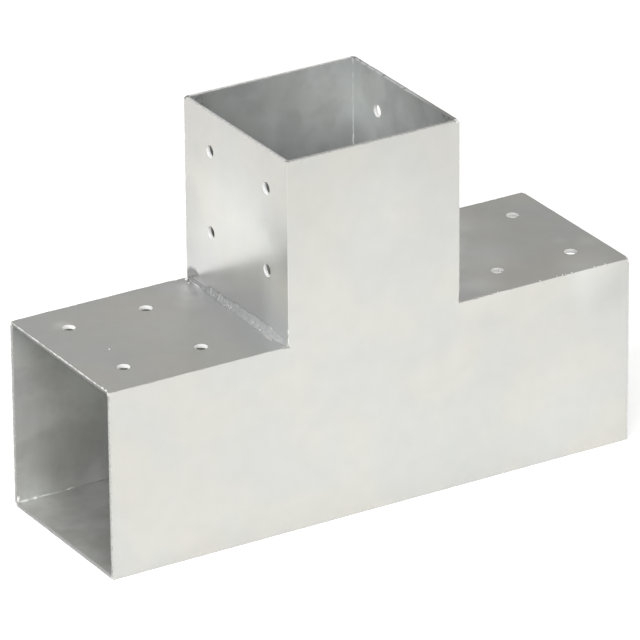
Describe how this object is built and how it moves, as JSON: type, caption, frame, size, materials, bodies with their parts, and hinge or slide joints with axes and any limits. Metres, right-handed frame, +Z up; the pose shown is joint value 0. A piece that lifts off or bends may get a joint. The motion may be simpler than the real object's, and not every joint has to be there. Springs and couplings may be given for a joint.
{
  "type": "t-shaped post connector",
  "caption": "T-shaped connector of welded galvanised steel sheet, whose open square sockets join an upright timber post to a horizontal beam.",
  "frame": {"origin": "middle of the underside, below the middle of the upright socket", "axes": "+X along the bar to the right arm, +Y from the front plate to the back plate, +Z up along the upright socket"},
  "size_m": [0.289, 0.095, 0.191],
  "materials": {
    "galvanised_sheet": "hot-dip galvanised, satin, faintly mottled",
    "weld_metal": "weld bead under zinc, satin"
  },
  "bodies": {
    "root": {"front_plate": "galvanised_sheet", "back_plate": "galvanised_sheet", "bottom_plate": "galvanised_sheet", "left_arm_top": "galvanised_sheet", "right_arm_top": "galvanised_sheet", "left_riser_side": "galvanised_sheet", "right_riser_side": "galvanised_sheet", "bottom_front_seam": "weld_metal", "bottom_back_seam": "weld_metal", "left_arm_front_seam": "weld_metal", "left_arm_back_seam": "weld_metal", "right_arm_front_seam": "weld_metal", "right_arm_back_seam": "weld_metal", "left_riser_front_seam": "weld_metal", "left_riser_back_seam": "weld_metal", "right_riser_front_seam": "weld_metal", "right_riser_back_seam": "weld_metal", "left_fillet_weld": "weld_metal", "right_fillet_weld": "weld_metal"}
  },
  "joints": []
}
